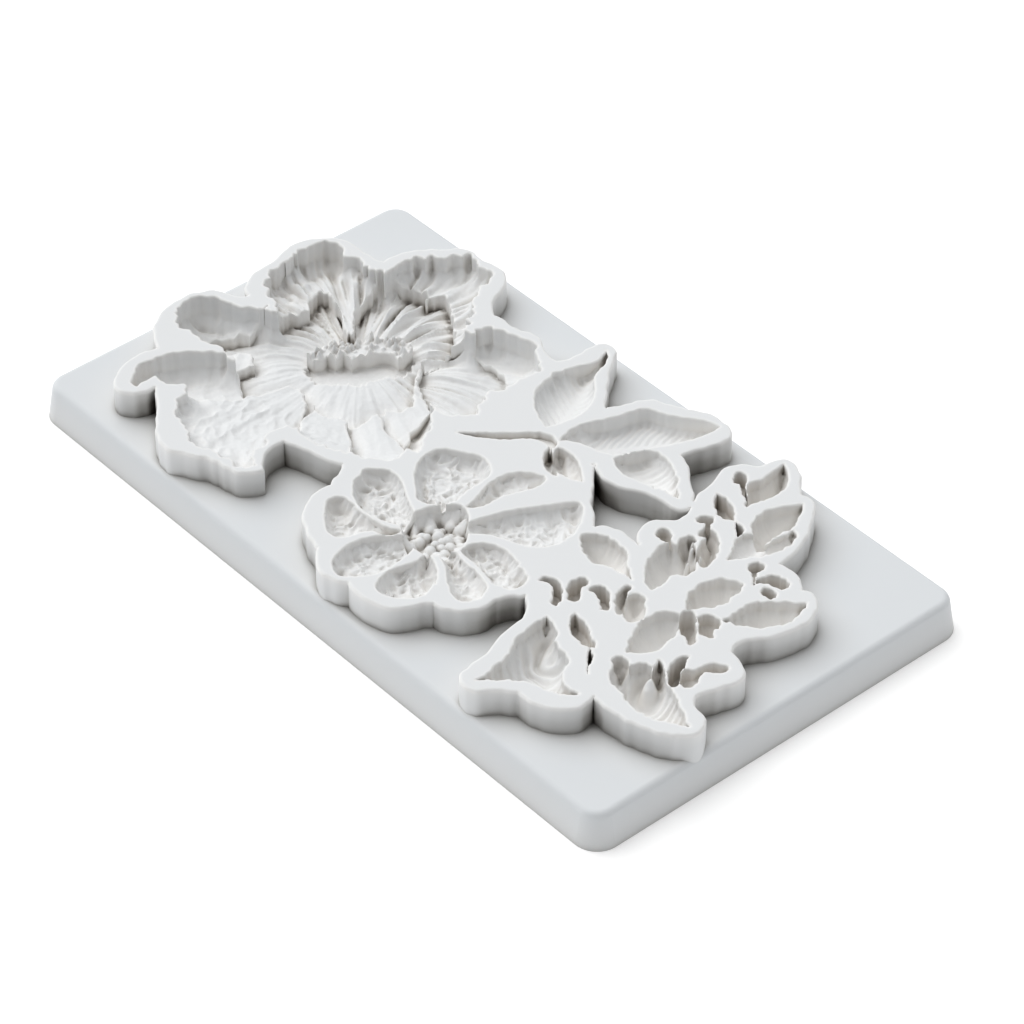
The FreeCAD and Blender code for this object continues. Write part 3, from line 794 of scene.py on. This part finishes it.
def flute(x, y, kind):
    """How far an outline is moved to its left at a point."""
    if kind == "outer":
        wave = max(-1.0, min(1.0, 2.2 * waves(x, y, 0.62, 3.4)))
        return -OUTER_FLUTE * (1 + wave)
    if x < PEONY_END:
        broad, tight = RIM_FLUTES if kind == "rim" else STEP_FLUTES
        angle, reach = around(PEONY_MIDDLE, x, y)
        radial = broad * streaks(angle, reach, 14) + tight * streaks(angle, reach, 30)
        return radial + 0.34 * waves(x, y, 1.05, 2.6)
    if x > SPRAY_START and y < SPRAY_FAR_END:
        return 0.40 * waves(x, y, 0.8, 2.2) + 0.22 * waves(x, y, 1.9, 6.1)
    return 0.20 * waves(x, y, 1.1, 2.2)


class Shell:
    """The vertices and faces of one block, from its top surface down to the pocket's floor."""

    def __init__(self, plan, number):
        self.plan = plan
        self.number = number
        self.vertices = []
        self.painted_light = []
        self.index = {}
        self.polygons = []
        self.outside = set()      # faces of the outer walls and of the underside
        self.floor_ring = []
        self.home = {}            # directed plan edge: the patch on its left
        self.patches_at = {}      # plan point: this block's patches that meet there
        self.add_top()
        self.add_walls()
        first = len(self.polygons)
        self.polygons += bottom_faces(self.floor_ring)
        self.outside.update(range(first, len(self.polygons)))

    def height(self, point, patch):
        """The surface's height at a plan point, as part of a patch."""
        return self.plan.z[point * len(self.plan.height) + patch]

    def place(self, point, depth, painted_light=0.0):
        """The vertex over a plan point at a height, made at its first use."""
        key = (point, round(depth, 4))
        if key not in self.index:
            self.index[key] = len(self.vertices)
            x, y = self.plan.coords[point]
            self.vertices.append((x * MM, (y + ISLAND_SHIFT) * MM, depth * MM))
            self.painted_light.append(painted_light)
        vertex = self.index[key]
        self.painted_light[vertex] = max(self.painted_light[vertex], painted_light)
        return vertex

    def add_top(self):
        """The flat rims and the cavities' floors."""
        plan = self.plan
        own = plan.block[plan.patch] == self.number
        for triangle, patch in zip(plan.faces[own].tolist(), plan.patch[own].tolist()):
            corners = []
            for k, point in enumerate(triangle):
                code = point * len(plan.height) + patch
                corners.append(self.place(point, plan.z[code], plan.painted_light[code]))
                self.home[(point, triangle[(k + 1) % 3])] = patch
                if patch not in self.patches_at.setdefault(point, []):
                    self.patches_at[point].append(patch)
            self.polygons.append(corners)

    def add_walls(self):
        """A wall under every outline edge of this block."""
        plan = self.plan
        sides = zip(
            plan.edges.tolist(), plan.upper.tolist(), plan.lower.tolist(),
            plan.seam.tolist(), plan.outer.tolist(),
        )
        for (a, b), high, low, is_seam, is_outer in sides:
            if self.home.get((a, b)) in (high, low):
                ends = (a, b)
            elif (b, a) in self.home:
                ends = (b, a)
            else:
                continue
            if is_seam or is_outer:
                self.add_outer_wall(ends, is_seam)
            elif high != low:
                if self.home.get(ends) != high:
                    ends = ends[::-1]
                self.add_wall(ends, high, [self.height(point, low) for point in ends], 1.0, [])

    def add_outer_wall(self, ends, is_seam):
        """A wall down to the pocket's floor; those at the seams get no painted edge light."""
        first = len(self.polygons)
        feet = [POCKET_FLOOR, POCKET_FLOOR]
        strength = 0.0 if is_seam else 1.0
        one, two = self.add_wall(ends, self.home[ends], feet, strength, [SLAB_TOP])
        self.floor_ring.append((one[-1], two[-1]))
        self.outside.update(range(first, len(self.polygons)))

    def add_wall(self, ends, patch, feet, strength, stops):
        """A wall from a patch's edge down to its feet, and the two columns of its ends."""
        columns = []
        for point, foot in zip(ends, feet):
            top = self.height(point, patch)
            between = stops + [
                level
                for level in (self.height(point, other) for other in self.patches_at[point])
                if foot + 0.01 < level < top - 0.01
            ]
            # Painted light on the wall, fading out a short way below the brink.
            columns.append([
                self.place(
                    point, level, strength * WALL_PAINTED_LIGHT_SHARE * (1 - (top - level) / WALL_PAINTED_LIGHT_REACH)
                )
                for level in column(top, foot, between)
            ])
        self.polygons += zipped(*columns)
        return columns

    def piece(self, name):
        """The block as an object, with its painted edge light and its two materials' places."""
        mesh = bpy.data.meshes.new(name)
        kept = [k for k, corners in enumerate(self.polygons) if len(set(corners)) > 2]
        mesh.from_pydata(self.vertices, [], [self.polygons[k] for k in kept])
        mesh.polygons.foreach_set("material_index", [int(k in self.outside) for k in kept])
        # Painted light at the brinks, kept for the material.
        painted_edge_light = mesh.attributes.new("painted_edge_light", "FLOAT", "POINT")
        painted_edge_light.data.foreach_set("value", [max(0.0, value) for value in self.painted_light])
        mesh.validate()
        mesh.update()
        mesh.polygons.foreach_set("use_smooth", [True] * len(mesh.polygons))
        mesh.set_sharp_from_angle(angle=SHARP_EDGE)
        piece = bpy.data.objects.new(mesh.name, mesh)
        bpy.context.scene.collection.objects.link(piece)
        return piece


def build_pieces():
    """One relief piece per block, in the order of BLOCKS."""
    plan = island()
    return [
        Shell(plan, number).piece(name.replace("_block", "_relief"))
        for number, name in enumerate(BLOCKS)
    ]


def zipped(one, two):
    """Faces between two upright columns of points, which may differ in length."""
    if len(one) == len(two):
        return [[one[k + 1], two[k + 1], two[k], one[k]] for k in range(len(one) - 1)]
    made = []
    last_one = len(one) - 1
    last_two = len(two) - 1
    i = j = 0
    while i < last_one or j < last_two:
        one_is_behind = (i + 1) * last_two <= (j + 1) * last_one
        if j >= last_two or (i < last_one and one_is_behind):
            made.append([one[i + 1], two[j], one[i]])
            i += 1
        else:
            made.append([one[i], two[j + 1], two[j]])
            j += 1
    return made


def bottom_faces(ring):
    """One face per closed loop of a block's underside."""
    following = dict(ring)
    made = []
    while following:
        start, here = following.popitem()
        loop = [start]
        while here != start and here in following:
            loop.append(here)
            here = following.pop(here)
        made.append(loop[::-1])
    return made


# ---------------------------------------------------------------- materials, camera, light

def silicone(name, painted_shading_stops, reach, paints_edge_light, creased):
    """Pale silicone with painted shade and painted light chosen by how open each spot is; painted
    light makes thin edges look whiter, standing in for light that passes through them.
    """
    material = bpy.data.materials.new(name)
    material.use_nodes = True
    nodes = material.node_tree.nodes
    links = material.node_tree.links
    surface = nodes["Principled BSDF"]
    surface.inputs["Roughness"].default_value = 0.55
    surface.inputs["IOR"].default_value = 1.41
    surface.inputs["Specular IOR Level"].default_value = 0.30
    # Painted shade and painted light from how open each spot is, times extra painted shade in tight
    # corners.
    hollow = painted_openness_shading(nodes, links, reach, painted_shading_stops)
    corner = painted_openness_shading(nodes, links, CORNER_REACH, CORNER_PAINTED_SHADE)
    colour = mix(nodes, links, "MULTIPLY", hollow, corner)
    # Painted light: thin edges are mixed towards a whiter colour.
    if paints_edge_light:
        edge = nodes.new("ShaderNodeAttribute")
        edge.attribute_name = "painted_edge_light"
        colour = mix(nodes, links, "MIX", colour.outputs["Color"], None)
        colour.inputs["Color2"].default_value = (*PAINTED_EDGE_LIGHT_TINT, 1)
        links.new(edge.outputs["Fac"], colour.inputs["Fac"])
    links.new(colour.outputs["Color"], surface.inputs["Base Color"])
    if creased:
        add_skin(nodes, links, surface)
    return material


def painted_openness_shading(nodes, links, reach, stops):
    """Painted shade and painted light chosen by how much of the surroundings within some reach is
    open.
    """
    openness = nodes.new("ShaderNodeAmbientOcclusion")
    openness.samples = 6
    openness.inputs["Distance"].default_value = reach * MM
    shading_ramp = ramp(nodes, stops)
    links.new(openness.outputs["AO"], shading_ramp.inputs["Fac"])
    return shading_ramp.outputs["Color"]


def add_skin(nodes, links, surface):
    """The fine uneven skin of the cavities, which fades out towards the island's flat top."""
    spot = nodes.new("ShaderNodeNewGeometry")
    parts = nodes.new("ShaderNodeSeparateXYZ")
    below_rim = nodes.new("ShaderNodeMapRange")
    below_rim.inputs["From Min"].default_value = (TOP - 0.6) * MM
    below_rim.inputs["From Max"].default_value = (TOP - 0.2) * MM
    below_rim.inputs["To Min"].default_value = 0.55
    below_rim.inputs["To Max"].default_value = 0
    skin = nodes.new("ShaderNodeTexNoise")
    skin.inputs["Scale"].default_value = 750
    skin.inputs["Detail"].default_value = 3
    skin.inputs["Distortion"].default_value = 0.8
    bump = nodes.new("ShaderNodeBump")
    bump.inputs["Distance"].default_value = 0.16 * MM
    links.new(spot.outputs["Position"], parts.inputs["Vector"])
    links.new(spot.outputs["Position"], skin.inputs["Vector"])
    links.new(parts.outputs["Z"], below_rim.inputs["Value"])
    links.new(below_rim.outputs["Result"], bump.inputs["Strength"])
    links.new(skin.outputs["Fac"], bump.inputs["Height"])
    links.new(bump.outputs["Normal"], surface.inputs["Normal"])


def mix(nodes, links, blend, first, second):
    """A full-strength mix of one colour with a second, which may be left to be set."""
    node = nodes.new("ShaderNodeMixRGB")
    node.blend_type = blend
    node.inputs["Fac"].default_value = 1
    links.new(first, node.inputs["Color1"])
    if second is not None:
        links.new(second, node.inputs["Color2"])
    return node


# Painted shade and painted light from the tightest hollow (0) to open ground (1), and how far the
# surroundings count.
HOLLOW_REACH = 6
SIDE_REACH = 7
# Hollows: painted shade in the tightest spots and painted light, standing in for light bounced
# inside them, further out.
HOLLOW_PAINTED_SHADE_AND_LIGHT = [
    (0.05, (0.68, 0.64, 0.59)),
    (0.35, (0.85, 0.84, 0.82)),
    (0.70, (0.805, 0.81, 0.81)),
    (1.00, (0.735, 0.75, 0.76)),
]
# Sides and slab: painted shade that deepens to near black at their feet; the slab's open ground is
# painted darker than the island's top.
SIDE_PAINTED_SHADE = [
    (0.15, (0.08, 0.07, 0.06)),
    (0.42, (0.45, 0.44, 0.42)),
    (0.72, (0.69, 0.695, 0.69)),
    (1.00, (0.735, 0.75, 0.76)),
]
SLAB_PAINTED_SHADE = [
    (0.12, (0.12, 0.11, 0.10)),
    (0.40, (0.57, 0.57, 0.56)),
    (0.70, (0.71, 0.72, 0.725)),
    (1.00, (0.68, 0.705, 0.725)),
]

# The extra painted shade of tight corners, which multiplies the one above.
CORNER_REACH = 1.2
CORNER_PAINTED_SHADE = [
    (0.15, (0.24, 0.215, 0.19)),
    (0.50, (0.72, 0.71, 0.695)),
    (0.90, (1.0, 1.0, 1.0)),
]
PAINTED_EDGE_LIGHT_TINT = (0.87, 0.87, 0.86)      # painted light on thin edges


def ramp(nodes, stops):
    """A colour ramp node through (position, colour) stops."""
    node = nodes.new("ShaderNodeValToRGB")
    elements = node.color_ramp.elements
    elements[0].position = stops[0][0]
    elements[0].color = (*stops[0][1], 1)
    elements[1].position = stops[-1][0]
    elements[1].color = (*stops[-1][1], 1)
    for position, colour in stops[1:-1]:
        elements.new(position).color = (*colour, 1)
    return node


def camera():
    """The view down over the front corner at the blossoms' end, through a long lens."""
    azimuth = math.radians(CAMERA_AZIMUTH)
    elevation = math.radians(CAMERA_ELEVATION)
    back = Vector((
        math.sin(azimuth) * math.cos(elevation),
        -math.cos(azimuth) * math.cos(elevation),
        math.sin(elevation),
    ))
    right = Vector((math.cos(azimuth), math.sin(azimuth), 0))
    up = back.cross(right)
    data = bpy.data.cameras.new("camera")
    data.sensor_width = 36
    data.lens = CAMERA_LENS
    data.clip_start = 0.01
    viewer = bpy.data.objects.new("camera", data)
    bpy.context.scene.collection.objects.link(viewer)
    place = back * CAMERA_DISTANCE + right * CAMERA_RIGHT + up * CAMERA_UP
    viewer.matrix_world = Matrix((right, up, back)).transposed().to_4x4()
    viewer.location = place * MM + Vector((0, ISLAND_SHIFT * MM, 0))
    bpy.context.scene.camera = viewer


def sun_light(name, toward, strength, softness):
    """A distant lamp that stands in a direction; its softness is an angle in degrees."""
    data = bpy.data.lights.new(name, "SUN")
    data.energy = strength
    data.angle = math.radians(softness)
    lamp = bpy.data.objects.new(name, data)
    bpy.context.scene.collection.objects.link(lamp)
    lamp.rotation_euler = Vector(toward).to_track_quat("Z", "Y").to_euler()


def studio():
    """A pale floor, a soft sky that is brighter behind the mould, and two soft suns."""
    floor_mesh = bpy.data.meshes.new("floor")
    half = 3.0
    floor_mesh.from_pydata(
        [(-half, -half, 0), (half, -half, 0), (half, half, 0), (-half, half, 0)], [], [(0, 1, 2, 3)]
    )
    floor = bpy.data.objects.new("floor", floor_mesh)
    bpy.context.scene.collection.objects.link(floor)
    paper = bpy.data.materials.new("paper")
    paper.use_nodes = True
    surface = paper.node_tree.nodes["Principled BSDF"]
    surface.inputs["Base Color"].default_value = (0.93, 0.93, 0.93, 1)
    surface.inputs["Roughness"].default_value = 0.9
    surface.inputs["Emission Color"].default_value = (1, 1, 1, 1)
    surface.inputs["Emission Strength"].default_value = 0.22
    floor_mesh.materials.append(paper)

    world = bpy.data.worlds.new("studio")
    world.use_nodes = True
    nodes = world.node_tree.nodes
    links = world.node_tree.links
    where = nodes.new("ShaderNodeTexCoord")
    toward_front = nodes.new("ShaderNodeVectorMath")
    toward_front.operation = "DOT_PRODUCT"
    toward_front.inputs[1].default_value = (*FRONT, 0)
    fade = nodes.new("ShaderNodeMapRange")
    fade.inputs["From Min"].default_value = -1
    fade.inputs["From Max"].default_value = 1
    fade.inputs["To Min"].default_value = 0.62
    fade.inputs["To Max"].default_value = 0.20
    links.new(where.outputs["Generated"], toward_front.inputs[0])
    links.new(toward_front.outputs["Value"], fade.inputs["Value"])
    links.new(fade.outputs["Result"], nodes["Background"].inputs["Strength"])
    nodes["Background"].inputs["Color"].default_value = (1, 1, 1, 1)
    bpy.context.scene.world = world
    sun_light("key", (-0.50, -0.10, 0.85), 2.25, 70)
    sun_light("fill", (0.92, 0.35, 0.22), 0.30, 60)
    bpy.context.scene.view_settings.view_transform = "Standard"


def main():
    """Builds the pieces, gives them their materials and sets up the studio and the camera."""
    # Three copies of one silicone, each with its own painted shade and painted light.
    inside = silicone("silicone_hollows", HOLLOW_PAINTED_SHADE_AND_LIGHT, HOLLOW_REACH, True, True)
    outside = silicone("silicone_sides", SIDE_PAINTED_SHADE, SIDE_REACH, True, False)
    ground = silicone("silicone_slab", SLAB_PAINTED_SHADE, SIDE_REACH, False, False)
    pieces = build_pieces()
    for piece, node in zip(pieces, BLOCKS):
        piece.data.materials.append(inside)
        piece.data.materials.append(outside)
        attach(piece, "root")
        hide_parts(node)
    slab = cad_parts["base_slab"]
    if slab.material_slots:
        slab.material_slots[0].material = ground
    else:
        slab.data.materials.append(ground)
    studio()
    camera()


main()
